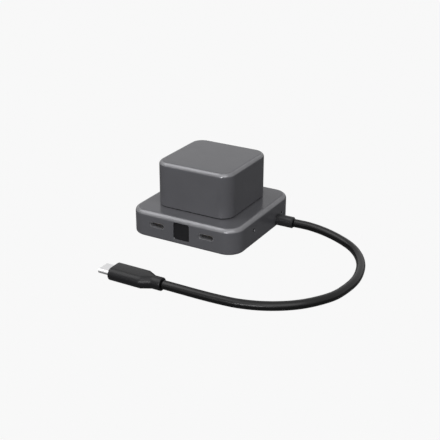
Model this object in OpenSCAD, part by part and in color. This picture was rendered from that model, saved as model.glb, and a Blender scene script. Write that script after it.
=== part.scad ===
// USB-C hub: a square base with a smaller square block on top and a captive cable with its plug.
// The origin is the centre of the plane that the feet stand on. X runs right along the front,
// Y runs back and Z runs up. All sizes are in millimetres.

/* [Base shell] */
// Side of the square base
base_side = 65; // [62:0.5:76]
// Height of the base's top face above the table
base_h = 15; // [14:0.25:20]
// Corner radius of the base, seen from above
base_corner = 9; // [7:0.25:11]
// Rounding of the base's top edge
base_top_round = 2.6; // [1:0.1:3]
// Rounding of the base's lower edge
base_low_round = 1.3; // [0.5:0.1:1.5]
// Thickness of the base's side walls
base_wall = 1.8; // [1.5:0.1:2.2]
// Thickness of the base's roof
base_roof = 2.2; // [1.8:0.1:3]

/* [Upper block] */
// Side of the square block
block_side = 45; // [42:0.5:48]
// Height of the block above the seam
block_h = 24.6; // [18:0.2:34]
// Corner radius of the block, seen from above
block_corner = 7.3; // [5:0.1:9]
// Rounding of the block's top edge
block_top_round = 2.3; // [1:0.1:2.5]
// Rounding of the block's lower edge
block_low_round = 0.4; // [0.2:0.1:0.8]
// Thickness of the block's side walls
block_wall = 1.6; // [1.3:0.1:2]
// Thickness of the block's roof
block_roof = 2; // [1.6:0.1:3]
// Height of the seam between the base and the block
seam_gap = 0.4; // [0.3:0.05:0.8]
// Distance from the block's side in to the gasket
seam_inset = 0.6; // [0.4:0.1:1]
// Width of the gasket's ring
gasket_w = 2; // [1.5:0.1:2.5]

/* [Underside] */
// Thickness of the bottom cover
cover_t = 1.5; // [1.3:0.1:2]
// Gap round the bottom cover
cover_gap = 0.15; // [0.1:0.05:0.3]
// Height of the screw bosses on the inside of the cover
cover_boss_h = 1.2; // [1:0.1:1.6]
// Diameter of the screw bosses on the cover
cover_boss_d = 6; // [5.6:0.1:6.5]
// Diameter of a rubber foot
foot_d = 9; // [8:0.25:11]
// Thickness of a rubber foot
foot_h = 1.2; // [1:0.1:1.3]
// Height that a foot stands out below the cover
foot_proud = 0.5; // [0.4:0.1:0.7]
// Chamfer round a foot's lower edge
foot_chamfer = 0.3; // [0.2:0.05:0.4]
// Distance from the base's side to a foot's centre
foot_in = 9; // [8.5:0.1:9.5]

/* [Ports] */
// Distance from the base's side to a port's centre
port_in = 17.5; // [16:0.25:18.5]
// Height of the ports' centres above the table
port_z = 8.2; // [7.8:0.1:9]
// Width of a port's opening
port_open_w = 8.34; // [8.34:0.01:8.5]
// Height of a port's opening
port_open_h = 2.56; // [2.56:0.01:2.7]
// Thickness of a port's metal shell
port_wall = 0.3; // [0.2:0.05:0.4]
// Length of a port's metal shell
port_len = 7.35; // [7:0.05:9]
// Distance from the front face in to the port's rim
port_recess = 0.3; // [0.2:0.1:0.6]
// Width of a port's tongue
tongue_w = 6.69; // [6.5:0.01:6.8]
// Thickness of a port's tongue
tongue_t = 0.7; // [0.6:0.01:0.8]
// Distance from the port's rim in to the tip of the tongue
tongue_recess = 1; // [0.8:0.1:1.4]

/* [Window and light holes] */
// Distance from the base's top face down to the window
window_drop = 2.3; // [2.25:0.05:3.2]
// Height of the window's lower edge above the table
window_low = 2.9; // [2.8:0.05:3.6]
// Corner radius of the window
window_corner = 1.2; // [0.6:0.1:2]
// Distance from the front face in to the window pane
window_recess = 0.8; // [0.4:0.1:1]
// Width of the window's flange on either side, behind the wall
window_flange = 1; // [0.6:0.1:1.5]
// Thickness of the flanges behind the wall
flange_t = 0.8; // [0.5:0.1:0.9]
// Diameter of the two light holes in the right face
light_d = 2.4; // [1.8:0.1:2.6]
// Distance from the right face in to a light lens
light_recess = 0.5; // [0.3:0.1:0.8]
// Place of the front light hole along the right face
light_y = -12.5; // [-14:0.5:-8]
// Height of the front light hole above the table
light_z = 8.7; // [8.4:0.1:9]
// Distance from the cable outlet back to the rear light hole
rear_light_step = 5.5; // [5.2:0.1:6]
// Height of the rear light hole above the table
rear_light_z = 6.2; // [6:0.1:7]

/* [Cable outlet] */
// Diameter of the cable
cable_d = 4.5; // [4:0.1:4.8]
// Distance from the base's back face to the cable outlet
relief_in = 17.5; // [16.5:0.5:19.5]
// Height of the cable outlet's axis above the table
relief_z = 4.5; // [4.3:0.1:4.8]
// Diameter of the strain relief
relief_d = 6.2; // [5.6:0.1:7]
// Length of the strain relief outside the face
relief_len = 9.6; // [8:0.2:12]
// Width of the groove between the right face and the strain relief
relief_gap = 0.4; // [0.2:0.1:0.8]
// Diameter of the strain relief inside the wall
neck_d = 5; // [4.6:0.1:5.4]
// Chamfer at the strain relief's tip
relief_chamfer = 0.6; // [0.3:0.1:0.8]
// Width of the anchor block behind the wall
anchor_w = 6; // [5.6:0.1:6.4]
// Thickness of the anchor block behind the wall
anchor_t = 1.5; // [1:0.1:1.6]
// Height of the anchor block above the cable's axis
anchor_rise = 4.5; // [3:0.1:5]
// Number of wires inside the cable
wire_count = 6; // [4:1:6]
// Diameter of one wire
wire_d = 0.7; // [0.5:0.05:0.8]
// Distance between two wires
wire_pitch = 0.9; // [0.85:0.05:1]

/* [Plug] */
// Width of the plug's grip
grip_w = 12; // [11:0.1:13]
// Thickness of the plug's grip
grip_t = 6.6; // [6:0.1:6.6]
// Length of the grip's straight part
grip_len = 18; // [15:0.5:22]
// Length of the grip's taper
taper_len = 5; // [4:0.5:8]
// Length of the plug's round neck
plug_neck_len = 5; // [3:0.5:8]
// Rounding round the grip's front face
grip_round = 0.5; // [0.3:0.1:0.8]
// Width of the plug's metal tip
tip_w = 8.25; // [8.2:0.01:8.3]
// Thickness of the plug's metal tip
tip_t = 2.4; // [2.35:0.01:2.45]
// Length of the metal tip outside the grip
tip_len = 6.65; // [6.2:0.05:7]
// Wall thickness of the metal tip
tip_wall = 0.25; // [0.15:0.05:0.3]
// Depth to which the metal tip sits in the grip
tip_seat = 4; // [3:0.5:6]
// Depth of the slot inside the plug's tip
slot_depth = 5.2; // [4.8:0.1:6]
// Length of the small board behind the tip
card_len = 7; // [5:0.5:9]

/* [Boards] */
// Thickness of both circuit boards
board_t = 1.2; // [1:0.1:1.6]
// Gap between the main board and the base's side walls
board_gap = 1.7; // [1.6:0.1:2.5]
// Gap between the power board and the block's side walls
power_gap = 2.9; // [2:0.1:3.5]
// Gap between a board's cut-out corner and the post there
corner_gap = 0.7; // [0.5:0.1:1]
// Height of the standoffs under the power board
standoff_h = 5; // [4.5:0.1:7]
// Width of a standoff across its corners
standoff_d = 4; // [3.8:0.1:4.4]
// Distance from the centre line to a standoff, sideways
standoff_x = 10; // [9:0.25:10.5]
// Distance from the centre line to a standoff, front to back
standoff_y = 15; // [14.6:0.1:15.4]
// Diameter of the screw posts inside both shells
post_d = 5; // [4.6:0.1:5.2]
// Distance from the block's inner wall to a post's centre
block_post_in = 4.5; // [4:0.1:4.6]
// Distance from the base's inner wall to a main board post
board_post_in = 7.7; // [7:0.1:8]
// Distance from the cut-out at a board corner to three of the main board posts
board_post_edge = 4.3; // [3.8:0.1:5.3]
// Distance from the cable outlet forward to the fourth main board post
board_post_step = 11; // [10:0.5:15]

/* [Screws] */
// Diameter of the screws
screw_d = 2; // [1.6:0.1:2.1]
// Diameter of the screw heads
head_d = 3.8; // [3.4:0.1:4]
// Height of the screw heads
head_h = 1; // [0.8:0.1:1.1]
// Depth of the cross recess in a head
recess_depth = 0.5; // [0.3:0.1:0.6]
// Width of the cross recess in a head
recess_w = 0.5; // [0.4:0.05:0.6]
// Clearance on a diameter where one piece passes through another
fit_gap = 0.2; // [0.1:0.05:0.3]

/* [Parts on the main board] */
// Side of the hub chip
hub_chip_side = 9; // [7:0.5:10]
// Side of the video chip
video_chip_side = 8; // [6:0.5:9]
// Height of the flat chips
chip_h = 0.9; // [0.7:0.05:1.2]
// Side of the shield can
can_side = 12; // [10:0.5:13]
// Height of the shield can
can_h = 2; // [1.6:0.1:3]
// Wall thickness of the shield can
can_wall = 0.2; // [0.15:0.05:0.3]
// Side of a main board inductor
coil_side = 4; // [3:0.25:4.5]
// Height of a main board inductor
coil_h = 2; // [1.5:0.1:3]
// Number of main board inductors
coil_count = 3; // [2:1:4]
// Distance between two main board inductors
coil_pitch = 6; // [5:0.5:6.5]
// Number of small capacitors in a row
cap_count = 8; // [4:1:8]
// Distance between two small capacitors
cap_pitch = 4; // [2.5:0.25:4.25]
// Length of the cable header
header_len = 6; // [5:0.25:7]
// Width of the cable header
header_w = 8; // [7:0.25:8.5]
// Height of the cable header
header_h = 2.2; // [2:0.1:2.4]

/* [Link between the boards] */
// Length of the link's socket
link_len = 18; // [14:0.5:19]
// Width of the link's socket
link_w = 5; // [4:0.25:6]
// Height of the link's socket
link_h = 4.4; // [3.5:0.1:5.5]
// Thickness by which the header is smaller than the socket
link_step = 0.6; // [0.4:0.1:1]
// Room round the link in the base's roof
link_room = 1.5; // [1:0.25:2]
// Place of the link, front to back
link_y = 2; // [0:0.5:3]

/* [Parts in the block] */
// Width of the heat sink
sink_w = 18; // [14:0.5:18.5]
// Length of the heat sink
sink_l = 22; // [16:0.5:24]
// Thickness of the heat sink's plate
sink_plate = 2; // [1.5:0.1:3]
// Number of fins on the heat sink
fin_count = 7; // [4:1:8]
// Thickness of a fin
fin_t = 1; // [0.8:0.1:1.2]
// Place of the heat sink, sideways
sink_x = 6; // [6:0.25:7]
// Side of the power chip
power_chip_side = 7; // [5:0.5:9]
// Thickness of the thermal pad on the power chip
chip_pad_t = 0.5; // [0.3:0.1:1]
// Thickness of the thermal pad under the block's roof
roof_pad_t = 1; // [0.5:0.1:1.5]
// Side of the power inductor
power_coil_side = 10; // [8:0.25:10.5]
// Height of the power inductor
power_coil_h = 5; // [4:0.25:8]
// Diameter of a power capacitor
power_cap_d = 5; // [4:0.25:5.5]
// Height of a power capacitor
power_cap_h = 8; // [6:0.25:12]

/* [Hidden] */
$fn = 64;

// Overlap that makes a cut reach past a face
cut = 0.1;

// Levels and inside sizes of the base
inner_half = base_side / 2 - base_wall;
roof_low = base_h - base_roof;
cover_top = foot_proud + cover_t;
post_low = cover_top + cover_boss_h;
foot_at = base_side / 2 - foot_in;
relief_y = base_side / 2 - relief_in;
bore_d = screw_d + fit_gap / 2;
hole_d = screw_d + fit_gap;

// Levels and inside sizes of the block
block_low = base_h + seam_gap;
block_top = block_low + block_h;
block_roof_low = block_top - block_roof;
block_inner_half = block_side / 2 - block_wall;
block_post_at = block_inner_half - block_post_in;

// Ports
port_w = port_open_w + 2 * port_wall;
port_h = port_open_h + 2 * port_wall;
port_at = base_side / 2 - port_in;
port_front = -base_side / 2 + port_recess;
tongue_base = 1.8;
contact_start = 0.4;
contact_count = 12;
contact_pitch = 0.5;
contact_w = 0.28;
contact_t = 0.1;
pad_reach = 0.8;
pad_len = 1.2;
pad_step = 1.7;

// Window, as high as the front face leaves room for
window_side = base_h - window_drop - window_low;
window_z = window_low + window_side / 2;

// Main board
board_top = port_z - port_h / 2;
board_low = board_top - board_t;
board_half = inner_half - board_gap;
board_arm = foot_at - post_d / 2 - corner_gap;
board_post_x = inner_half - board_post_in;
board_post_y = board_arm - board_post_edge;
board_post_back = relief_y - board_post_step;
BOARD_POSTS = [
    [-board_post_x, -board_post_y], [-board_post_x, board_post_y],
    [board_post_x, -board_post_y], [board_post_x, board_post_back]
];
board_bite = 3.5;
thread_spare = 0.5;
side_led = [1.6, 0.8, 0.6];
led_margin = 0.4;
side_led_x = board_half - side_led[0] / 2 - led_margin;

// Light guide behind the window and the light that feeds it
guide = [8, 3.2, 4];
window_led_size = [3, 1, 1];
guide_front = led_margin / 4 - board_half;

// Cable outlet and rear light
rear_light_y = relief_y + rear_light_step;
relief_start = base_side / 2 + relief_gap;
anchor_inner = inner_half - anchor_t;
header_in = 5;
header_right = board_half - header_in;

// Power board
power_low = base_h + standoff_h;
power_top = power_low + board_t;
power_half = block_inner_half - power_gap;
power_arm = block_post_at - post_d / 2 - corner_gap;
standoff_floor = 1.5;
standoff_bore = standoff_h - standoff_floor;
sink_low = power_top + chip_h + chip_pad_t;
sink_top = block_roof_low - roof_pad_t;
housing_bite = 5;
cover_bite = 6;

// Places of parts on the two boards
hub_chip_at = [-10, -10];
video_chip_at = [10, -11];
flash_at = [-12, 12];
flash_size = [5, 4, 1.6];
crystal_at = [-10, -18];
crystal_size = [3.2, 2.5, 0.8];
coil_row = [3, 12];
cap_size = [1.6, 0.8, 0.8];
cap_row_y = -3;
power_coil_at = [-10.5, 5.5];
POWER_CAPS = [[-13.2, -4.2], [-7, -4.2], [-10, -9.8]];

// Route of the cable's centre line: steps from the outlet, with their height above the table's lie
outlet_x = relief_start + relief_len;
outlet_lift = relief_z - cable_d / 2;
plug_lift = (grip_t - cable_d) / 2;
CABLE_STEPS = [
    [0, 0, outlet_lift], [9.5, 0, outlet_lift], [19, -1.5, 1.85], [28.5, -4.5, 1.15], [37, -9, 0.45],
    [43.5, -15.5, 0.05], [48.5, -24, 0], [51.5, -33, 0], [53, -42.5, 0], [52.5, -52, 0],
    [50.5, -61.5, 0], [46, -70, 0], [40, -77.5, 0], [32.5, -83.5, 0], [24, -88, 0],
    [14.5, -91, 0.05], [5, -92.5, 0.35], [-4.5, -93.5, 0.75], [-14, -94, plug_lift], [-24, -94, plug_lift]
];
CABLE_ROUTE = [for (p = CABLE_STEPS) [outlet_x + p[0], relief_y + p[1], cable_d / 2 + p[2]]];
cable_sides = 12;
slice_t = 0.01;

// Plug: its rear face is at the end of the cable
plug_rear = CABLE_ROUTE[len(CABLE_ROUTE) - 1];
grip_front_x = -(plug_neck_len + taper_len + grip_len);
tip_front_x = grip_front_x - tip_len;
tip_back_x = grip_front_x + tip_seat;
slot_w = 6.9;
slot_h = 1;
core_recess = 0.3;
strip_recess = 0.8;
card_size = [card_len, 6.4, 0.8];

// Rectangle with rounded corners, centred
module rounded_rect(w, h, r) {
    square([w - 2 * r, h], center = true);
    square([w, h - 2 * r], center = true);
    for (x = [-1, 1], y = [-1, 1])
        translate([x * (w / 2 - r), y * (h / 2 - r)]) circle(r);
}

// Long slot outline with round ends, centred
module stadium(w, h) {
    square([w - h, h], center = true);
    for (x = [-1, 1])
        translate([x * (w - h) / 2, 0]) circle(d = h);
}

// Right half of an outline that is rounded below and on top
module half_outline(half, h, r_low, r_top) {
    translate([0, r_low]) square([half, h - r_low - r_top]);
    square([half - r_low, r_low + cut]);
    translate([0, h - r_top - cut]) square([half - r_top, r_top + cut]);
    translate([half - r_low, r_low]) circle(r_low);
    translate([half - r_top, h - r_top]) circle(r_top);
}

// Square body with round corners and rounded top and lower edges
module rounded_body(side, h, corner, r_low, r_top) {
    flat = side / 2 - corner;
    for (x = [-1, 1], y = [-1, 1])
        translate([x * flat, y * flat, 0]) rotate_extrude() half_outline(corner, h, r_low, r_top);
    for (turn = [0, 90])
        rotate([90, 0, turn]) linear_extrude(2 * flat, center = true)
            for (flip = [0, 1])
                mirror([flip, 0]) half_outline(side / 2, h, r_low, r_top);
}

// Square plate with round corners that starts at z = 0
module plate(side, h, corner) {
    linear_extrude(h) rounded_rect(side, side, corner);
}

// Copies at the four corners of a square
module at_corners(d) {
    for (x = [-1, 1], y = [-1, 1])
        translate([x * d, y * d, 0]) children();
}

// Copies at the posts of the main board
module at_board_posts() {
    for (p = BOARD_POSTS)
        translate([p[0], p[1], 0]) children();
}

// Copies at the standoffs of the power board
module at_standoffs() {
    for (x = [-1, 1], y = [-1, 1])
        translate([x * standoff_x, y * standoff_y, 0]) children();
}

// Pan-head screw with its head below z = 0 and its shank above
module screw(shank) {
    difference() {
        union() {
            translate([0, 0, -head_h]) cylinder(d = head_d, h = head_h);
            translate([0, 0, -head_h / 2]) cylinder(d = screw_d, h = shank + head_h / 2);
        }
        for (turn = [0, 90])
            rotate(turn) translate([-head_d / 4, -recess_w / 2, -head_h - cut])
                cube([head_d / 2, recess_w, recess_depth + cut]);
    }
}

// Box centred in X and Y that stands on the main board
module on_board(at, size) {
    translate([at[0] - size[0] / 2, at[1] - size[1] / 2, board_top]) cube(size);
}

// Box centred in X and Y that stands on the power board
module on_power_board(at, size) {
    translate([at[0] - size[0] / 2, at[1] - size[1] / 2, power_top]) cube(size);
}

// Board with cut-out corners
module notched_board(half, arm) {
    linear_extrude(board_t) {
        square([2 * half, 2 * arm], center = true);
        square([2 * arm, 2 * half], center = true);
    }
}

// Side outline turned so that it is extruded from y = 0 back
module extrude_back(depth) {
    translate([0, depth, 0]) rotate([90, 0, 0]) linear_extrude(depth) children();
}

// Aluminium shell of the base with its screw posts
module base_shell() {
    color("dimgray") difference() {
        union() {
            difference() {
                translate([0, 0, foot_proud])
                    rounded_body(base_side, base_h - foot_proud, base_corner, base_low_round, base_top_round);
                plate(2 * inner_half, roof_low, base_corner - base_wall);
            }
            at_corners(foot_at)
                translate([0, 0, post_low]) cylinder(d = post_d, h = roof_low - post_low + cut);
            at_board_posts()
                translate([0, 0, board_top]) cylinder(d = post_d, h = roof_low - board_top + cut);
        }
        at_corners(foot_at)
            translate([0, 0, post_low - cut]) cylinder(d = bore_d, h = cover_bite + cut);
        at_board_posts()
            translate([0, 0, board_top - cut]) cylinder(d = bore_d, h = board_bite + cut);
        at_corners(block_post_at)
            translate([0, 0, roof_low - cut]) cylinder(d = hole_d, h = base_roof + 2 * cut);
        at_standoffs()
            translate([0, 0, roof_low - cut]) cylinder(d = bore_d, h = base_roof + 2 * cut);
        translate([0, link_y, roof_low - cut]) linear_extrude(base_roof + 2 * cut)
            rounded_rect(link_len + 2 * link_room, link_w + 2 * link_room, link_room / 2);
        for (x = [-1, 1])
            translate([x * port_at, -base_side / 2 - cut, port_z]) extrude_back(base_wall + 2 * cut)
                stadium(port_w + fit_gap, port_h + fit_gap);
        translate([0, -base_side / 2 - cut, window_z]) extrude_back(base_wall + 2 * cut)
            rounded_rect(window_side, window_side, window_corner);
        translate([inner_half - cut, light_y, light_z]) rotate([0, 90, 0])
            cylinder(d = light_d, h = base_wall + 2 * cut);
        translate([inner_half - cut, rear_light_y, rear_light_z]) rotate([0, 90, 0])
            cylinder(d = light_d, h = base_wall + 2 * cut);
        translate([inner_half - cut, relief_y, relief_z]) rotate([0, 90, 0])
            cylinder(d = neck_d + fit_gap, h = base_wall + 2 * cut);
    }
}

// Flat cover that closes the base from below
module bottom_cover() {
    color("black") difference() {
        union() {
            translate([0, 0, foot_proud])
                plate(2 * (inner_half - cover_gap), cover_t, base_corner - base_wall - cover_gap);
            at_corners(foot_at)
                translate([0, 0, cover_top - cut]) cylinder(d = cover_boss_d, h = cover_boss_h + cut);
        }
        at_corners(foot_at) {
            translate([0, 0, foot_proud - cut]) cylinder(d = foot_d + fit_gap, h = foot_h - foot_proud + cut);
            translate([0, 0, foot_h - cut]) cylinder(d = head_d + fit_gap, h = head_h + cut);
            cylinder(d = hole_d, h = post_low + cut);
        }
    }
}

// Rubber discs that the hub stands on
module rubber_feet() {
    color("black") at_corners(foot_at) {
        cylinder(d1 = foot_d - 2 * foot_chamfer, d2 = foot_d, h = foot_chamfer);
        translate([0, 0, foot_chamfer]) cylinder(d = foot_d, h = foot_h - foot_chamfer);
    }
}

// Screws under the feet that hold the cover to the base
module cover_screws() {
    color("silver") at_corners(foot_at)
        translate([0, 0, foot_h + head_h]) screw(post_low - foot_h - head_h + cover_bite - thread_spare);
}

// Aluminium shell of the upper block with its screw posts
module upper_housing() {
    color("dimgray") difference() {
        union() {
            difference() {
                translate([0, 0, block_low])
                    rounded_body(block_side, block_h, block_corner, block_low_round, block_top_round);
                plate(2 * block_inner_half, block_roof_low, block_corner - block_wall);
            }
            at_corners(block_post_at)
                translate([0, 0, base_h]) cylinder(d = post_d, h = block_roof_low - base_h + cut);
        }
        at_corners(block_post_at)
            translate([0, 0, base_h - cut]) cylinder(d = bore_d, h = housing_bite + cut);
    }
}

// Thin gasket in the seam under the block
module seam_gasket() {
    outer = block_side - 2 * seam_inset;
    color("black") translate([0, 0, base_h]) difference() {
        plate(outer, seam_gap, block_corner - seam_inset);
        translate([0, 0, -cut])
            plate(outer - 2 * gasket_w, seam_gap + 2 * cut, block_corner - seam_inset - gasket_w);
    }
}

// Screws through the base's roof into the block's posts
module housing_screws() {
    color("silver") at_corners(block_post_at)
        translate([0, 0, roof_low]) screw(base_roof + housing_bite - thread_spare);
}

// Dark pane in the front face with a flange behind the wall
module status_window() {
    pane = window_side - fit_gap / 2;
    color([0.08, 0.08, 0.09]) translate([0, 0, window_z]) {
        translate([0, -base_side / 2 + window_recess, 0]) extrude_back(base_wall - window_recess + cut)
            rounded_rect(pane, pane, window_corner);
        translate([0, -inner_half, 0]) extrude_back(flange_t)
            square([pane + 2 * window_flange, pane], center = true);
    }
}

// Clear block that carries light to the window
module window_light_guide() {
    color([0.85, 0.9, 0.95]) translate([-guide[0] / 2, guide_front, board_top]) cube(guide);
}

// Light that shines into the guide
module window_led() {
    color("white") on_board([0, guide_front + guide[1] + window_led_size[1] / 2], window_led_size);
}

// Lens in a light hole, with a square flange behind the wall
module light_lens(y, z) {
    flange = light_d + 1;
    color([0.15, 0.15, 0.17]) translate([inner_half, y, z]) {
        rotate([0, 90, 0]) translate([0, 0, -cut])
            cylinder(d = light_d - fit_gap / 2, h = base_wall - light_recess + cut);
        translate([-flange_t, -flange / 2, -flange / 2]) cube([flange_t, flange, flange]);
    }
}

module front_light_lens() { light_lens(light_y, light_z); }

module rear_light_lens() { light_lens(rear_light_y, rear_light_z); }

module front_light_led() {
    color("white") on_board([side_led_x, light_y], side_led);
}

module rear_light_led() {
    color("white") on_board([side_led_x, rear_light_y - light_d / 2 - side_led[1]], side_led);
}

// Copies a port's piece to its place, with the piece's rim at y = 0
module at_port(side) {
    translate([side * port_at, port_front, port_z]) children();
}

// Metal shell of a port with four solder feet on the board
module port_shell() {
    pad_start = (port_w - port_h) / 2 - port_wall;
    pad_w = port_w / 2 + pad_reach - pad_start;
    color("silver") {
        difference() {
            extrude_back(port_len) stadium(port_w, port_h);
            translate([0, -cut, 0])
                extrude_back(port_len - port_wall + cut) stadium(port_open_w, port_open_h);
        }
        for (flip = [0, 1], i = [0, 1])
            mirror([flip, 0, 0]) translate([pad_start, port_len - pad_len - i * pad_step, -port_h / 2])
                cube([pad_w, pad_len, port_wall]);
    }
}

module left_port_shell() { at_port(-1) port_shell(); }

module right_port_shell() { at_port(1) port_shell(); }

// Insulating block and tongue of a port
module port_tongue() {
    back = port_len - port_wall;
    color("black") {
        translate([0, back - tongue_base, 0]) extrude_back(tongue_base)
            stadium(port_open_w - fit_gap / 2, port_open_h - fit_gap / 2);
        translate([-tongue_w / 2, tongue_recess, -tongue_t / 2])
            cube([tongue_w, back - tongue_recess - cut, tongue_t]);
    }
}

module left_port_tongue() { at_port(-1) port_tongue(); }

module right_port_tongue() { at_port(1) port_tongue(); }

// Contact strips on both faces of a tongue
module port_contacts() {
    start = tongue_recess + contact_start;
    color("gold") for (i = [0 : contact_count - 1], face = [-1, 1])
        translate([(i - (contact_count - 1) / 2) * contact_pitch - contact_w / 2, start,
                   face > 0 ? tongue_t / 2 : -tongue_t / 2 - contact_t])
            cube([contact_w, port_len - port_wall - tongue_base - start, contact_t]);
}

module left_port_contacts() { at_port(-1) port_contacts(); }

module right_port_contacts() { at_port(1) port_contacts(); }

// Circuit board in the base
module main_board() {
    color("darkgreen") translate([0, 0, board_low]) difference() {
        notched_board(board_half, board_arm);
        at_board_posts() translate([0, 0, -cut]) cylinder(d = hole_d, h = board_t + 2 * cut);
    }
}

// Screws from below that hold the main board to its posts
module board_screws() {
    color("silver") at_board_posts()
        translate([0, 0, board_low]) screw(board_t + board_bite - thread_spare);
}

module hub_chip() {
    color([0.1, 0.1, 0.1]) on_board(hub_chip_at, [hub_chip_side, hub_chip_side, chip_h]);
}

module video_chip() {
    color([0.1, 0.1, 0.1]) on_board(video_chip_at, [video_chip_side, video_chip_side, chip_h]);
}

// Sheet metal cap over the video chip
module shield_can() {
    inside = can_side - 2 * can_wall;
    color("lightgray") difference() {
        on_board(video_chip_at, [can_side, can_side, can_h]);
        translate([0, 0, -cut]) on_board(video_chip_at, [inside, inside, can_h - can_wall + cut]);
    }
}

module flash_chip() {
    color([0.1, 0.1, 0.1]) on_board(flash_at, flash_size);
}

module crystal() {
    color("silver") on_board(crystal_at, crystal_size);
}

// Row of inductors on the main board
module board_inductors() {
    color([0.3, 0.3, 0.32]) for (i = [0 : coil_count - 1])
        on_board([coil_row[0] + (i - (coil_count - 1) / 2) * coil_pitch, coil_row[1]],
                 [coil_side, coil_side, coil_h]);
}

// Row of small capacitors on the main board
module board_capacitors() {
    color([0.7, 0.55, 0.4]) for (i = [0 : cap_count - 1])
        on_board([(i - (cap_count - 1) / 2) * cap_pitch, cap_row_y], cap_size);
}

// Header under the main board that takes the cable's wires
module cable_header() {
    color("ivory") translate([header_right - header_len, relief_y - header_w / 2, board_low - header_h])
        cube([header_len, header_w, header_h]);
}

// Wires from the strain relief to the header
module lead_wires() {
    color("firebrick") for (i = [0 : wire_count - 1])
        translate([header_right, relief_y + (i - (wire_count - 1) / 2) * wire_pitch, relief_z])
            rotate([0, 90, 0]) cylinder(d = wire_d, h = anchor_inner - header_right);
}

// Socket of the link between the boards
module link_socket() {
    color("ivory") on_board([0, link_y], [link_len, link_w, link_h]);
}

// Tall header of the link, under the power board
module link_header() {
    low = board_top + link_h;
    size = [link_len - link_step, link_w - link_step, power_low - low];
    color([0.15, 0.15, 0.15]) translate([-size[0] / 2, link_y - size[1] / 2, low]) cube(size);
}

// Circuit board in the block
module power_board() {
    color("darkgreen") translate([0, 0, power_low]) difference() {
        notched_board(power_half, power_arm);
        at_standoffs() translate([0, 0, -cut]) cylinder(d = hole_d, h = board_t + 2 * cut);
    }
}

// Hexagonal standoffs on the base's roof, each with a stud below
module power_standoffs() {
    color("gold") at_standoffs() difference() {
        union() {
            translate([0, 0, base_h]) cylinder(d = standoff_d, h = standoff_h, $fn = 6);
            translate([0, 0, roof_low + cut]) cylinder(d = screw_d, h = base_roof - cut + standoff_floor / 2);
        }
        translate([0, 0, power_low - standoff_bore]) cylinder(d = bore_d, h = standoff_bore + cut);
    }
}

// Screws that hold the power board to its standoffs
module power_screws() {
    color("silver") at_standoffs()
        translate([0, 0, power_top]) rotate([180, 0, 0]) screw(board_t + standoff_bore - thread_spare);
}

module power_chip() {
    color([0.1, 0.1, 0.1]) on_power_board([sink_x, 0], [power_chip_side, power_chip_side, chip_h]);
}

// Soft pad between the power chip and the heat sink
module chip_pad() {
    color("lightsteelblue") translate([0, 0, chip_h])
        on_power_board([sink_x, 0], [power_chip_side, power_chip_side, chip_pad_t]);
}

// Finned heat sink that reaches up to the pad under the block's roof
module heat_sink() {
    step = (sink_w - fin_t) / (fin_count - 1);
    color("silver") translate([sink_x - sink_w / 2, -sink_l / 2, sink_low]) {
        cube([sink_w, sink_l, sink_plate]);
        for (i = [0 : fin_count - 1])
            translate([i * step, 0, 0]) cube([fin_t, sink_l, sink_top - sink_low]);
    }
}

// Soft pad between the fins and the block's roof
module roof_pad() {
    color("lightsteelblue") translate([sink_x - sink_w / 2, -sink_l / 2, sink_top])
        cube([sink_w, sink_l, roof_pad_t]);
}

module power_inductor() {
    color([0.3, 0.3, 0.32]) on_power_board(power_coil_at, [power_coil_side, power_coil_side, power_coil_h]);
}

// Round capacitors on the power board
module power_capacitors() {
    color("darkslateblue") for (p = POWER_CAPS)
        translate([p[0], p[1], power_top]) cylinder(d = power_cap_d, h = power_cap_h);
}

// Moulded strain relief: collar outside, neck through the wall and anchor block inside
module strain_relief() {
    color([0.13, 0.13, 0.14]) {
        translate([0, relief_y, relief_z]) rotate([0, 90, 0]) rotate_extrude() polygon([
            [0, anchor_inner + anchor_t / 2],
            [neck_d / 2, anchor_inner + anchor_t / 2],
            [neck_d / 2, relief_start],
            [relief_d / 2, relief_start],
            [relief_d / 2, relief_start + relief_len - relief_chamfer],
            [relief_d / 2 - relief_chamfer, relief_start + relief_len],
            [0, relief_start + relief_len]
        ]);
        translate([anchor_inner, relief_y - anchor_w / 2, cover_top + fit_gap])
            cube([anchor_t, anchor_w, relief_z + anchor_rise - cover_top - fit_gap]);
    }
}

// Unit vector along v
function unit(v) = v / norm(v);

// Direction of the route at one of its points; both ends run straight along X
function heading(route, i) =
    i == 0 ? [1, 0, 0] :
    i == len(route) - 1 ? [-1, 0, 0] :
    unit(unit(route[i + 1] - route[i]) + unit(route[i] - route[i - 1]));

// Ring of points round the route at one of its points
function ring(route, i, r) =
    let (ahead = heading(route, i), across = unit(cross([0, 0, 1], ahead)), up = cross(ahead, across))
    [for (k = [0 : cable_sides - 1])
        route[i] + r * (cos(k * 360 / cable_sides) * across + sin(k * 360 / cable_sides) * up)];

// Captive cable that lies on the table
module cable() {
    n = cable_sides;
    last = len(CABLE_ROUTE) - 1;
    points = [for (i = [0 : last]) each ring(CABLE_ROUTE, i, cable_d / 2)];
    sides = [for (i = [0 : last - 1], k = [0 : n - 1])
        [i * n + k, (i + 1) * n + k, (i + 1) * n + (k + 1) % n, i * n + (k + 1) % n]];
    start = [for (k = [0 : n - 1]) k];
    end = [for (k = [n - 1 : -1 : 0]) last * n + k];
    color([0.16, 0.16, 0.17]) polyhedron(points = points, faces = concat(sides, [start, end]));
}

// Thin slice of the plug, square to its axis
module plug_slice(x) {
    translate([x, 0, 0]) rotate([90, 0, 90]) linear_extrude(slice_t) children();
}

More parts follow.
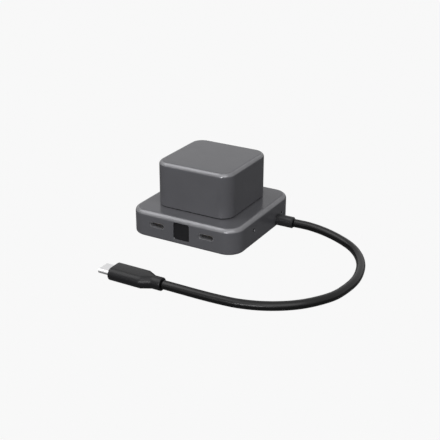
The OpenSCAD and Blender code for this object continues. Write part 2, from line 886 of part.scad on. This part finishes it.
// Moulded grip of the plug, with its seat for the metal tip
module plug_grip() {
    r = grip_t / 2;
    reach = (grip_w - grip_t) / 2;
    start = grip_front_x + grip_round;
    color([0.13, 0.13, 0.14]) translate(plug_rear) difference() {
        union() {
            for (side = [-1, 1])
                translate([grip_front_x, side * reach, 0]) rotate([0, 90, 0])
                    cylinder(r1 = r - grip_round, r2 = r, h = grip_round);
            translate([0, reach, 0]) rotate([90, 0, 0]) linear_extrude(2 * reach) polygon([
                [grip_front_x, grip_round - r], [start, -r], [start, r], [grip_front_x, r - grip_round]
            ]);
            translate([start, 0, 0]) rotate([90, 0, 90])
                linear_extrude(grip_len - grip_round) stadium(grip_w, grip_t);
            hull() {
                plug_slice(-plug_neck_len - taper_len) stadium(grip_w, grip_t, $fn = 32);
                plug_slice(-plug_neck_len) circle(r, $fn = 32);
            }
            translate([-plug_neck_len, 0, 0]) rotate([0, 90, 0]) cylinder(r = r, h = plug_neck_len);
        }
        translate([grip_front_x - cut, 0, 0]) rotate([90, 0, 90]) linear_extrude(tip_seat + cut)
            stadium(tip_w + fit_gap / 2, tip_t + fit_gap / 2);
        translate([tip_back_x - cut, -card_size[1] / 2, -card_size[2] / 2])
            cube([card_size[0] + cut, card_size[1], card_size[2]]);
    }
}

// Metal tube at the front of the plug
module plug_tip() {
    color("silver") translate(plug_rear) translate([tip_front_x, 0, 0]) rotate([90, 0, 90])
        linear_extrude(tip_len + tip_seat) difference() {
            stadium(tip_w, tip_t);
            stadium(tip_w - 2 * tip_wall, tip_t - 2 * tip_wall);
        }
}

// Insulating core inside the tip, with the slot that takes a port's tongue
module plug_core() {
    w = tip_w - 2 * tip_wall - fit_gap / 2;
    h = tip_t - 2 * tip_wall - fit_gap / 2;
    color("black") translate(plug_rear) difference() {
        translate([tip_front_x + core_recess, 0, 0]) rotate([90, 0, 90])
            linear_extrude(tip_len + tip_seat - core_recess) stadium(w, h);
        translate([tip_front_x, -slot_w / 2, -slot_h / 2]) cube([slot_depth, slot_w, slot_h]);
    }
}

// Contact strips on both walls of the core's slot
module plug_contacts() {
    color("gold") translate(plug_rear) for (i = [0 : contact_count - 1], face = [-1, 1])
        translate([tip_front_x + strip_recess, (i - (contact_count - 1) / 2) * contact_pitch - contact_w / 2,
                   face > 0 ? slot_h / 2 - contact_t : -slot_h / 2])
            cube([slot_depth - strip_recess, contact_w, contact_t]);
}

// Small circuit board behind the tip
module plug_card() {
    color("darkgreen") translate(plug_rear) translate([tip_back_x, -card_size[1] / 2, -card_size[2] / 2])
        cube(card_size);
}

base_shell();
bottom_cover();
rubber_feet();
cover_screws();
upper_housing();
seam_gasket();
housing_screws();
status_window();
window_light_guide();
window_led();
front_light_lens();
rear_light_lens();
front_light_led();
rear_light_led();
left_port_shell();
right_port_shell();
left_port_tongue();
right_port_tongue();
left_port_contacts();
right_port_contacts();
main_board();
board_screws();
hub_chip();
video_chip();
shield_can();
flash_chip();
crystal();
board_inductors();
board_capacitors();
cable_header();
lead_wires();
link_socket();
link_header();
power_board();
power_standoffs();
power_screws();
power_chip();
chip_pad();
heat_sink();
roof_pad();
power_inductor();
power_capacitors();
strain_relief();
cable();
plug_grip();
plug_tip();
plug_core();
plug_contacts();
plug_card();
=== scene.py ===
import bpy
import bmesh
import math
from mathutils import Matrix, Vector


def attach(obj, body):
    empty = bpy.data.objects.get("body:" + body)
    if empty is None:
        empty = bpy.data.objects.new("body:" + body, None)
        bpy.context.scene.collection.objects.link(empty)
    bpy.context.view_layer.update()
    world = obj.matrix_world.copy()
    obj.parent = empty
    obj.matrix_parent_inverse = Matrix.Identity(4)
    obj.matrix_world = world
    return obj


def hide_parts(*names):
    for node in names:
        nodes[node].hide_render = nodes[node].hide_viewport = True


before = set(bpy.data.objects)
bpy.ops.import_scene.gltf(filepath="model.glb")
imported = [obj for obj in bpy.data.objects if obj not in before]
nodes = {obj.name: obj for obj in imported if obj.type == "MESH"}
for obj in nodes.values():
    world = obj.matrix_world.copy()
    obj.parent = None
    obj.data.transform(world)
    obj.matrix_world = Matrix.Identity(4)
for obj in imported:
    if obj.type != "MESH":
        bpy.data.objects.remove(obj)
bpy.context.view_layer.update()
print("hub loaded,", len(nodes), "nodes")

# the camera that took the picture

cameraPlace = {
    "where": (0.2358, -0.4075, 0.2096),
    "azimuth": 29.53,
    "elevation": 23.74,
    "roll": 0.231,
    "lens": 76.34,
    "sensor": 36.0,
    "nearest": 0.01,
    "farthest": 20,
}


def makeCamera(place):
    a = math.radians(place["azimuth"])
    e = math.radians(place["elevation"])
    r = math.radians(place["roll"])
    back = Vector((math.sin(a) * math.cos(e), -math.cos(a) * math.cos(e), math.sin(e)))
    right = Vector((0, 0, 1)).cross(back).normalized()
    up = back.cross(right)
    turnedRight = right * math.cos(r) + up * math.sin(r)
    turnedUp = up * math.cos(r) - right * math.sin(r)
    data = bpy.data.cameras.new("hubCamera")
    data.lens = place["lens"]
    data.sensor_width = place["sensor"]
    data.clip_start = place["nearest"]
    data.clip_end = place["farthest"]
    camera = bpy.data.objects.new("hubCamera", data)
    turn = Matrix((turnedRight, turnedUp, back)).transposed().to_4x4()
    camera.matrix_world = Matrix.Translation(place["where"]) @ turn
    bpy.context.scene.collection.objects.link(camera)
    bpy.context.scene.camera = camera


makeCamera(cameraPlace)
print("camera set")

# the cable, along the same points as the source, which are in millimetres

millimetre = 0.001
cable = {
    "diameter": 0.0045,
    "length": 0.1835,
    "exit": (0.0425, 0.015, 0.0045),
    "route": [
        (42.5, 15, 4.5), (52, 15, 4.5), (61.5, 13.5, 4.1), (71, 10.5, 3.4), (79.5, 6, 2.7),
        (86, -0.5, 2.3), (91, -9, 2.25), (94, -18, 2.25), (95.5, -27.5, 2.25), (95, -37, 2.25),
        (93, -46.5, 2.25), (88.5, -55, 2.25), (82.5, -62.5, 2.25), (75, -68.5, 2.25),
        (66.5, -73, 2.25), (57, -76, 2.3), (47.5, -77.5, 2.6), (38, -78.5, 3), (28.5, -79, 3.3),
        (18.5, -79, 3.3),
    ],
    "sides": 36,
    "steps": 8,
}


def smoothRoute(points, steps):
    # soft bends through every point, straight out of both mouths
    headings = []
    for i in range(len(points)):
        before = points[max(i - 1, 0)]
        after = points[min(i + 1, len(points) - 1)]
        headings.append((after - before).normalized())
    headings[0] = Vector((1, 0, 0))
    headings[-1] = Vector((-1, 0, 0))
    line = []
    for i in range(len(points) - 1):
        a, b = points[i], points[i + 1]
        reach = (b - a).length
        for k in range(steps):
            t = k / steps
            line.append(
                a * (2 * t**3 - 3 * t**2 + 1)
                + headings[i] * reach * (t**3 - 2 * t**2 + t)
                + b * (3 * t**2 - 2 * t**3)
                + headings[i + 1] * reach * (t**3 - t**2)
            )
    line.append(points[-1].copy())
    return line


def tubeMesh(name, line, radius, sides):
    bm = bmesh.new()
    rings = []
    for i, point in enumerate(line):
        ahead = (line[min(i + 1, len(line) - 1)] - line[max(i - 1, 0)]).normalized()
        across = Vector((0, 0, 1)).cross(ahead).normalized()
        up = ahead.cross(across)
        ring = []
        for k in range(sides):
            turn = 2 * math.pi * k / sides
            spoke = across * math.cos(turn) + up * math.sin(turn)
            ring.append(bm.verts.new(point + spoke * radius))
        rings.append(ring)
    for a, b in zip(rings, rings[1:]):
        for k in range(sides):
            m = (k + 1) % sides
            bm.faces.new((a[k], a[m], b[m], b[k]))
    bm.faces.new(list(reversed(rings[0])))
    bm.faces.new(rings[-1])
    bmesh.ops.recalc_face_normals(bm, faces=bm.faces)
    for face in bm.faces:
        face.smooth = len(face.verts) == 4
    mesh = bpy.data.meshes.new(name)
    bm.to_mesh(mesh)
    bm.free()
    return mesh


def makeCable(facts):
    line = smoothRoute([Vector(p) * millimetre for p in facts["route"]], facts["steps"])
    mesh = tubeMesh("cableJacket", line, facts["diameter"] / 2, facts["sides"])
    piece = bpy.data.objects.new("cableJacket", mesh)
    bpy.context.scene.collection.objects.link(piece)
    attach(piece, "root")
    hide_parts("cable")
    return piece, line


cableJacket, cableLine = makeCable(cable)
print("cable laid")

# the overmoulded grip of the plug, one smooth skin from the blunt front to the round neck

plugGrip = {
    "axis": (-79.0, 3.3),
    "neckEnd": 18.5,
    "neckStart": 13.5,
    "taperStart": 8.5,
    "front": -9.5,
    "halfWidth": 6.0,
    "halfHeight": 3.3,
    "neckRadius": 3.3,
    "frontRound": 0.5,
    "frontSteps": 6,
    "mouthWidth": 4.125,
    "mouthHeight": 1.2,
    "bodyRings": (-7, -3, 1, 5, 7.5),
    "taperSteps": 8,
    "neckRings": (14.1, 16, 18.15),
    "neckRound": 0.35,
    "neckSteps": 4,
    "cableHole": 2.3,
    "around": 96,
}


def stadiumRing(x, halfWidth, halfHeight, facts):
    y0, z0 = facts["axis"]
    flat = max(halfWidth - halfHeight, 0)
    ring = []
    count = facts["around"]
    for i in range(count):
        t = 2 * math.pi * i / count
        # even steps round the two ends, with the flats between them
        side = math.copysign(flat, math.cos(t)) if abs(math.cos(t)) > 1e-9 else 0
        y = y0 + side + halfHeight * math.cos(t)
        z = z0 + halfHeight * math.sin(t)
        ring.append(Vector((x, y, z)) * millimetre)
    return ring


def gripSections(facts):
    # place along the plug, half width and half height of every ring
    front, depth = facts["front"], facts["frontRound"]
    wide, high, neck = facts["halfWidth"], facts["halfHeight"], facts["neckRadius"]
    sections = [(front, facts["mouthWidth"], facts["mouthHeight"])]
    for i in range(facts["frontSteps"] + 1):
        t = math.pi / 2 * i / facts["frontSteps"]
        inset = depth * (1 - math.sin(t))
        sections.append((front + depth * (1 - math.cos(t)), wide - inset, high - inset))
    for x in facts["bodyRings"]:
        sections.append((x, wide, high))
    span = facts["neckStart"] - facts["taperStart"]
    for i in range(facts["taperSteps"] + 1):
        t = i / facts["taperSteps"]
        sections.append((facts["taperStart"] + span * t, wide + (neck - wide) * t, high))
    for x in facts["neckRings"]:
        sections.append((x, neck, neck))
    for i in range(1, facts["neckSteps"] + 1):
        t = math.pi / 2 * i / facts["neckSteps"]
        x = facts["neckEnd"] - facts["neckRound"] * (1 - math.sin(t))
        radius = neck - facts["neckRound"] * (1 - math.cos(t))
        sections.append((x, radius, radius))
    sections.append((facts["neckEnd"], facts["cableHole"], facts["cableHole"]))
    return sections


def makePlugGrip(facts):
    bm = bmesh.new()
    rings = []
    for x, wide, high in gripSections(facts):
        rings.append([bm.verts.new(p) for p in stadiumRing(x, wide, high, facts)])
    count = facts["around"]
    for a, b in zip(rings, rings[1:]):
        for i in range(count):
            j = (i + 1) % count
            bm.faces.new((a[i], b[i], b[j], a[j]))
    for face in bm.faces:
        face.smooth = True
    bmesh.ops.recalc_face_normals(bm, faces=bm.faces)
    mesh = bpy.data.meshes.new("plugGripSkin")
    bm.to_mesh(mesh)
    bm.free()
    piece = bpy.data.objects.new("plugGripSkin", mesh)
    bpy.context.scene.collection.objects.link(piece)
    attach(piece, "root")
    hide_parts("plug_grip")
    return piece


plugGripSkin = makePlugGrip(plugGrip)
print("plug grip made")

# shared surface effects, as node groups that put out masks, colours and heights


def newGroup(name, inputs, outputs):
    group = bpy.data.node_groups.new(name, "ShaderNodeTree")
    for label, kind, value in inputs:
        socket = group.interface.new_socket(name=label, in_out="INPUT", socket_type=kind)
        socket.default_value = value
    for label, kind in outputs:
        group.interface.new_socket(name=label, in_out="OUTPUT", socket_type=kind)
    enter = group.nodes.new("NodeGroupInput")
    leave = group.nodes.new("NodeGroupOutput")
    return group, enter, leave


def node(tree, kind, **values):
    made = tree.nodes.new(kind)
    for key, value in values.items():
        if key in made.inputs:
            made.inputs[key].default_value = value
        else:
            setattr(made, key, value)
    return made


def noiseOf(group, size, **look):
    # noise in the piece's own space, with features as large as the socket says
    place = node(group, "ShaderNodeTexCoord")
    scale = node(group, "ShaderNodeMath", operation="DIVIDE")
    scale.inputs[0].default_value = 1
    group.links.new(size, scale.inputs[1])
    noise = node(group, "ShaderNodeTexNoise", **look)
    group.links.new(place.outputs["Object"], noise.inputs["Vector"])
    group.links.new(scale.outputs[0], noise.inputs["Scale"])
    return noise.outputs["Fac"]


def remap(group, source, low, high, **how):
    made = node(group, "ShaderNodeMapRange", **how)
    made.inputs["From Min"].default_value = low
    made.inputs["From Max"].default_value = high
    group.links.new(source, made.inputs["Value"])
    return made.outputs["Result"]


def times(group, a, b, **how):
    made = node(group, "ShaderNodeMath", operation="MULTIPLY", **how)
    group.links.new(a, made.inputs[0])
    group.links.new(b, made.inputs[1])
    return made.outputs[0]


def upwardOf(group):
    surface = node(group, "ShaderNodeNewGeometry")
    split = node(group, "ShaderNodeSeparateXYZ")
    group.links.new(surface.outputs["Normal"], split.inputs[0])
    return split.outputs["Z"]


def buildFineGrain():
    # two sizes of noise: blasted or moulded grain, and cloudy patches
    group, enter, leave = newGroup(
        "fineGrain",
        [
            ("Grain Size", "NodeSocketFloat", 0.0003),
            ("Patch Size", "NodeSocketFloat", 0.012),
            ("Contrast", "NodeSocketFloat", 0.5),
        ],
        [("Height", "NodeSocketFloat"), ("Patches", "NodeSocketFloat")],
    )
    grain = noiseOf(group, enter.outputs["Grain Size"], Detail=4.0, Roughness=0.6)
    patches = noiseOf(group, enter.outputs["Patch Size"], Detail=5.0, Roughness=0.55)
    mild = node(group, "ShaderNodeMix", data_type="FLOAT")
    mild.inputs[2].default_value = 0.5
    group.links.new(enter.outputs["Contrast"], mild.inputs[0])
    group.links.new(remap(group, patches, 0.3, 0.7), mild.inputs[3])
    group.links.new(grain, leave.inputs["Height"])
    group.links.new(mild.outputs[0], leave.inputs["Patches"])
    return group


def buildEdgeWearAndSheen():
    # how far a softened normal leans from the true one marks the edges; noise breaks the mark up
    group, enter, leave = newGroup(
        "edgeWearAndSheen",
        [
            ("Reach", "NodeSocketFloat", 0.0004),
            ("Amount", "NodeSocketFloat", 0.5),
            ("Break Size", "NodeSocketFloat", 0.002),
        ],
        [("Mask", "NodeSocketFloat")],
    )
    surface = node(group, "ShaderNodeNewGeometry")
    soft = node(group, "ShaderNodeBevel", samples=4)
    group.links.new(enter.outputs["Reach"], soft.inputs["Radius"])
    lean = node(group, "ShaderNodeVectorMath", operation="DOT_PRODUCT")
    group.links.new(surface.outputs["Normal"], lean.inputs[0])
    group.links.new(soft.outputs["Normal"], lean.inputs[1])
    edge = remap(group, lean.outputs["Value"], 0.995, 0.85)
    chips = noiseOf(group, enter.outputs["Break Size"], Detail=3.0, Roughness=0.6)
    worn = times(group, edge, remap(group, chips, 0.35, 0.6))
    mask = times(group, worn, enter.outputs["Amount"], use_clamp=True)
    group.links.new(mask, leave.inputs["Mask"])
    return group


def buildPaintedRimHighlight():
    # a painted highlight on the rounded rims, told by a slope between level and upright
    group, enter, leave = newGroup(
        "rimPolish",
        [("Amount", "NodeSocketFloat", 0.5), ("Break Size", "NodeSocketFloat", 0.006)],
        [("Mask", "NodeSocketFloat")],
    )
    upward = upwardOf(group)
    rising = remap(group, upward, 0.12, 0.45, interpolation_type="SMOOTHSTEP")
    falling = remap(group, upward, 0.995, 0.9, interpolation_type="SMOOTHSTEP")
    breaks = noiseOf(group, enter.outputs["Break Size"], Detail=3.0, Roughness=0.5)
    uneven = remap(group, breaks, 0.25, 0.65, **{"To Min": 0.75})
    rims = times(group, times(group, rising, falling), uneven)
    mask = times(group, rims, enter.outputs["Amount"], use_clamp=True)
    group.links.new(mask, leave.inputs["Mask"])
    return group


def buildDust():
    # a thin film on faces that look up, thicker in soft drifts
    group, enter, leave = newGroup(
        "dustFilm",
        [("Amount", "NodeSocketFloat", 0.1), ("Drift Size", "NodeSocketFloat", 0.01)],
        [("Mask", "NodeSocketFloat")],
    )
    drift = noiseOf(group, enter.outputs["Drift Size"], Detail=6.0, Roughness=0.6)
    film = times(group, remap(group, upwardOf(group), 0.3, 1.0), drift)
    mask = times(group, film, enter.outputs["Amount"], use_clamp=True)
    group.links.new(mask, leave.inputs["Mask"])
    return group


fineGrain = buildFineGrain()
edgeWearAndSheen = buildEdgeWearAndSheen()
dustFilm = buildDust()
rimPolish = buildPaintedRimHighlight()
print("surface effects built")


def srgb(r, g, b):
    def lin(v):
        v /= 255
        return v / 12.92 if v <= 0.04045 else ((v + 0.055) / 1.055) ** 2.4

    return (lin(r), lin(g), lin(b), 1)


def addEffect(tree, group, values):
    made = node(tree, "ShaderNodeGroup", node_tree=group)
    for key, value in values.items():
        made.inputs[key].default_value = value
    return made


def layOver(tree, under, mask, colour):
    mix = node(tree, "ShaderNodeMix", data_type="RGBA")
    mix.inputs[7].default_value = colour
    tree.links.new(mask, mix.inputs[0])
    tree.links.new(under, mix.inputs[6])
    return mix.outputs[2]


# what a finish has unless it says otherwise
plainLook = {
    "patch": 0.012,
    "contrast": 0.6,
    "depth": 0.00005,
    "dustColour": srgb(196, 192, 186),
}


def makeFinish(name, own):
    # a look holds two colours, the roughness range, the grain, and marks of edge wear (on the
    # shell partly a painted highlight), a painted rim highlight and dust
    look = {**plainLook, **own}
    material = bpy.data.materials.new(name)
    material.use_nodes = True
    tree = material.node_tree
    links = tree.links
    shader = tree.nodes["Principled BSDF"]
    for key, value in look.get("shader", {}).items():
        shader.inputs[key].default_value = value
    grain = addEffect(tree, fineGrain, {
        "Grain Size": look["grain"], "Patch Size": look["patch"], "Contrast": look["contrast"],
    })
    colour = node(tree, "ShaderNodeMix", data_type="RGBA")
    colour.inputs[6].default_value = look["base"]
    colour.inputs[7].default_value = look["pale"]
    links.new(grain.outputs["Patches"], colour.inputs[0])
    last = colour.outputs[2]
    if "wearAndSheen" in look:
        marks = look["wearAndSheen"]
        # paler edges are wear, and on the shell partly a painted highlight
        wearAndSheen = addEffect(tree, edgeWearAndSheen, {
            "Reach": marks["reach"], "Amount": marks["amount"], "Break Size": marks["size"],
        })
        last = layOver(tree, last, wearAndSheen.outputs["Mask"], marks["colour"])
    if "rim" in look:
        # paler rounded rims here are a painted highlight
        rim = addEffect(tree, rimPolish, {"Amount": look["rim"]["amount"]})
        last = layOver(tree, last, rim.outputs["Mask"], look["rim"]["colour"])
    if "dust" in look:
        dust = addEffect(tree, dustFilm, {"Amount": look["dust"]})
        last = layOver(tree, last, dust.outputs["Mask"], look["dustColour"])
    links.new(last, shader.inputs["Base Color"])
    rough = node(tree, "ShaderNodeMapRange")
    rough.inputs["To Min"].default_value = look["rough"][0]
    rough.inputs["To Max"].default_value = look["rough"][1]
    links.new(grain.outputs["Patches"], rough.inputs["Value"])
    links.new(rough.outputs["Result"], shader.inputs["Roughness"])
    bump = node(tree, "ShaderNodeBump")
    bump.inputs["Strength"].default_value = look["bump"]
    bump.inputs["Distance"].default_value = look["depth"]
    links.new(grain.outputs["Height"], bump.inputs["Height"])
    links.new(bump.outputs["Normal"], shader.inputs["Normal"])
    return material


finishes = {
    "anodised_shell": {
        "base": srgb(97, 97, 101), "pale": srgb(103, 103, 107),
        "grain": 0.00022, "patch": 0.02,
        "rough": (0.18, 0.24), "bump": 0.08, "depth": 0.00002,
        "shader": {"Metallic": 0.2, "Specular IOR Level": 0.2},
        # the rim colour is a painted highlight along the shell's rounded rims
        "rim": {"amount": 1.0, "colour": srgb(138, 138, 141)},
        # the shell's paler edges are partly wear and partly a painted highlight on its sharp
        # edges
        "wearAndSheen": {"reach": 0.0004, "amount": 0.35, "size": 0.0015, "colour": srgb(150, 150, 154)},
        "dust": 0.03,
    },
    "black_plastic": {
        "base": srgb(36, 36, 38), "pale": srgb(44, 44, 46),
        "grain": 0.0004, "rough": (0.42, 0.55), "bump": 0.3,
    },
    "grip_plastic": {
        "base": srgb(26, 26, 28), "pale": srgb(30, 30, 32),
        "grain": 0.00018, "rough": (0.31, 0.37), "bump": 0.06,
        "depth": 0.000005,
        "shader": {"Specular IOR Level": 0.22},
        "dust": 0.01,
    },
    "cable_rubber": {
        "base": srgb(13, 13, 14), "pale": srgb(16, 16, 17),
        "grain": 0.0002, "rough": (0.27, 0.31), "bump": 0.04,
        "depth": 0.000005,
        "shader": {"Specular IOR Level": 0.28},
        "dust": 0.01,
    },
    # a paler copy of the cable rubber; its extra lightness is a painted highlight on the strain
    # relief
    "relief_rubber_with_painted_highlight": {
        "base": srgb(36, 36, 38), "pale": srgb(41, 41, 43),
        "grain": 0.0002, "rough": (0.3, 0.36), "bump": 0.08,
        "depth": 0.000005,
        "shader": {"Specular IOR Level": 0.26},
        "dust": 0.01,
    },
    "soft_rubber": {
        "base": srgb(14, 14, 15), "pale": srgb(20, 20, 21),
        "grain": 0.0004, "rough": (0.6, 0.8), "bump": 0.4,
        "shader": {"Specular IOR Level": 0.1},
    },
    "dark_pane": {
        "base": srgb(34, 34, 36), "pale": srgb(38, 38, 40),
        "grain": 0.001, "rough": (0.2, 0.3), "bump": 0.02,
        "shader": {"Specular IOR Level": 0.15},
    },
    "clear_guide": {
        "base": srgb(214, 216, 218), "pale": srgb(226, 228, 230),
        "grain": 0.0006, "rough": (0.1, 0.2), "bump": 0.05,
    },
    "white_ceramic": {
        "base": srgb(226, 224, 216), "pale": srgb(236, 234, 228),
        "grain": 0.0003, "rough": (0.3, 0.4), "bump": 0.2,
    },
    "brown_ceramic": {
        "base": srgb(142, 112, 84), "pale": srgb(156, 124, 94),
        "grain": 0.0002, "rough": (0.4, 0.5), "bump": 0.2,
    },
    "port_steel": {
        "base": srgb(134, 134, 137), "pale": srgb(144, 144, 147),
        "grain": 0.0002, "rough": (0.4, 0.5), "bump": 0.1,
        "shader": {"Metallic": 0.4, "Specular IOR Level": 0.3},
        "wearAndSheen": {"reach": 0.0001, "amount": 0.3, "size": 0.0008, "colour": srgb(170, 170, 172)},
    },
    "plug_steel": {
        "base": srgb(232, 232, 233), "pale": srgb(240, 240, 241),
        "grain": 0.0002, "rough": (0.2, 0.3), "bump": 0.1,
        "shader": {"Metallic": 0.9},
    },
    "screw_steel": {
        "base": srgb(118, 118, 122), "pale": srgb(136, 136, 140),
        "grain": 0.0002, "rough": (0.28, 0.4), "bump": 0.2,
        "shader": {"Metallic": 1.0},
        "wearAndSheen": {"reach": 0.0001, "amount": 0.6, "size": 0.0006, "colour": srgb(196, 196, 198)},
    },
    "gold_contact": {
        "base": srgb(212, 172, 92), "pale": srgb(224, 188, 110),
        "grain": 0.0001, "rough": (0.2, 0.3), "bump": 0.1,
        "shader": {"Metallic": 1.0},
    },
    "standoff_brass": {
        "base": srgb(190, 158, 88), "pale": srgb(202, 172, 104),
        "grain": 0.0002, "rough": (0.3, 0.42), "bump": 0.2,
        "shader": {"Metallic": 1.0},
    },
    "board_laminate": {
        "base": srgb(22, 58, 40), "pale": srgb(30, 72, 50),
        "grain": 0.0005, "patch": 0.003, "rough": (0.3, 0.42), "bump": 0.25,
    },
    "chip_resin": {
        "base": srgb(28, 28, 30), "pale": srgb(38, 38, 40),
        "grain": 0.0002, "rough": (0.5, 0.65), "bump": 0.3,
    },
    "ferrite": {
        "base": srgb(52, 52, 56), "pale": srgb(64, 64, 68),
        "grain": 0.0003, "rough": (0.6, 0.75), "bump": 0.4,
    },
    "ivory_plastic": {
        "base": srgb(222, 214, 192), "pale": srgb(230, 224, 206),
        "grain": 0.0004, "rough": (0.38, 0.48), "bump": 0.15,
    },
    "wire_insulation": {
        "base": srgb(150, 32, 30), "pale": srgb(166, 42, 38),
        "grain": 0.0004, "rough": (0.36, 0.46), "bump": 0.15,
    },
    "thermal_pad": {
        "base": srgb(120, 138, 160), "pale": srgb(134, 152, 172),
        "grain": 0.0005, "rough": (0.7, 0.85), "bump": 0.5,
    },
    "bare_aluminium": {
        "base": srgb(176, 178, 180), "pale": srgb(190, 192, 194),
        "grain": 0.0003, "rough": (0.3, 0.42), "bump": 0.25,
        "shader": {"Metallic": 1.0},
    },
    "capacitor_can": {
        "base": srgb(170, 172, 176), "pale": srgb(186, 188, 190),
        "grain": 0.0002, "rough": (0.2, 0.3), "bump": 0.1,
        "shader": {"Metallic": 1.0},
    },
}

# nodes whose look in the photograph differs from the rest of their slot
ownFinish = {
    "plug_tip": "plug_steel",
    # the strain relief wears the paler rubber, whose extra lightness is a painted highlight
    "strain_relief": "relief_rubber_with_painted_highlight",
}

materials = {name: makeFinish(name, look) for name, look in finishes.items()}
print("finishes mixed:", len(materials))


def dressNodes():
    # a slot's material carries the slot's name, perhaps with a number behind a dot
    for piece in nodes.values():
        for place in piece.material_slots:
            place.material = materials[place.material.name.split(".")[0]]
    for name, finish in ownFinish.items():
        nodes[name].data.materials.clear()
        nodes[name].data.materials.append(materials[finish])


dressNodes()
cableJacket.data.materials.append(materials["cable_rubber"])
plugGripSkin.data.materials.append(materials["grip_plastic"])
print("nodes dressed")

# floor, lamps and world

studio = {
    "floorRadius": 2.5,
    "floorCorners": 96,
    "floorColour": srgb(251, 251, 251),
    "paperColour": srgb(104, 104, 104),
    "floorInPicture": 0.97,
    "floorInGloss": 0.08,
    "skyInGloss": 0.85,
    "lamps": [
        ("keySoftbox", (-0.72, -0.32, 1.1), 1.0, 1.0, 7.8),
        ("secondSoftbox", (0.42, -0.62, 1.1), 1.4, 1.4, 5.4),
        ("frontStrip", (0.28, -1.06, 0.29), 0.5, 0.12, 4.6),
        ("sideSoftbox", (0.67, -0.67, 0.75), 0.8, 0.8, 3.6),
    ],
    "worldGlow": 0.03,
}


def backgroundShare(tree, inPicture, inGloss):
    # how much of the white ground a camera ray sees, and how much shows in gloss and glass
    ray = node(tree, "ShaderNodeLightPath")
    mirror = node(tree, "ShaderNodeMath", operation="MAXIMUM")
    tree.links.new(ray.outputs["Is Glossy Ray"], mirror.inputs[0])
    tree.links.new(ray.outputs["Is Transmission Ray"], mirror.inputs[1])
    mirrorShare = node(tree, "ShaderNodeMath", operation="MULTIPLY")
    mirrorShare.inputs[1].default_value = inGloss
    tree.links.new(mirror.outputs[0], mirrorShare.inputs[0])
    share = node(tree, "ShaderNodeMath", operation="MULTIPLY_ADD")
    share.inputs[1].default_value = inPicture
    tree.links.new(ray.outputs["Is Camera Ray"], share.inputs[0])
    tree.links.new(mirrorShare.outputs[0], share.inputs[2])
    return share


def makeFloor(facts):
    bm = bmesh.new()
    corners = facts["floorCorners"]
    bmesh.ops.create_circle(bm, cap_ends=True, radius=facts["floorRadius"], segments=corners)
    mesh = bpy.data.meshes.new("paleFloor")
    bm.to_mesh(mesh)
    bm.free()
    floor = bpy.data.objects.new("paleFloor", mesh)
    bpy.context.scene.collection.objects.link(floor)
    material = bpy.data.materials.new("palePaper")
    material.use_nodes = True
    tree = material.node_tree
    tree.nodes.clear()
    paper = node(tree, "ShaderNodeBsdfDiffuse")
    paper.inputs["Color"].default_value = facts["paperColour"]
    glow = node(tree, "ShaderNodeEmission", Strength=1.0)
    glow.inputs["Color"].default_value = facts["floorColour"]
    # the rest of the paper keeps the hub's true shadow
    share = backgroundShare(tree, facts["floorInPicture"], facts["floorInGloss"])
    mixed = node(tree, "ShaderNodeMixShader")
    out = node(tree, "ShaderNodeOutputMaterial")
    tree.links.new(share.outputs[0], mixed.inputs[0])
    tree.links.new(paper.outputs[0], mixed.inputs[1])
    tree.links.new(glow.outputs[0], mixed.inputs[2])
    tree.links.new(mixed.outputs[0], out.inputs["Surface"])
    mesh.materials.append(material)


def makeLamp(name, where, width, height, power):
    data = bpy.data.lights.new(name, "AREA")
    data.shape = "RECTANGLE"
    data.size = width
    data.size_y = height
    data.energy = power
    lamp = bpy.data.objects.new(name, data)
    lamp.location = where
    lamp.rotation_mode = "QUATERNION"
    # every lamp faces the hub
    lamp.rotation_quaternion = (-Vector(where)).to_track_quat("-Z", "Y")
    bpy.context.scene.collection.objects.link(lamp)


def makeWorld(facts):
    world = bpy.data.worlds.new("studioAir")
    bpy.context.scene.world = world
    world.use_nodes = True
    tree = world.node_tree
    tree.nodes.clear()
    share = backgroundShare(tree, 1.0, facts["skyInGloss"])
    dim = node(tree, "ShaderNodeBackground", Strength=facts["worldGlow"])
    dim.inputs["Color"].default_value = (1, 1, 1, 1)
    white = node(tree, "ShaderNodeBackground", Strength=1.0)
    white.inputs["Color"].default_value = facts["floorColour"]
    mixed = node(tree, "ShaderNodeMixShader")
    out = node(tree, "ShaderNodeOutputWorld")
    tree.links.new(share.outputs[0], mixed.inputs[0])
    tree.links.new(dim.outputs[0], mixed.inputs[1])
    tree.links.new(white.outputs[0], mixed.inputs[2])
    tree.links.new(mixed.outputs[0], out.inputs["Surface"])


makeFloor(studio)
for name, where, width, height, power in studio["lamps"]:
    makeLamp(name, where, width, height, power)
makeWorld(studio)
bpy.context.scene.view_settings.view_transform = "Standard"
print("studio set")

bpy.context.view_layer.update()
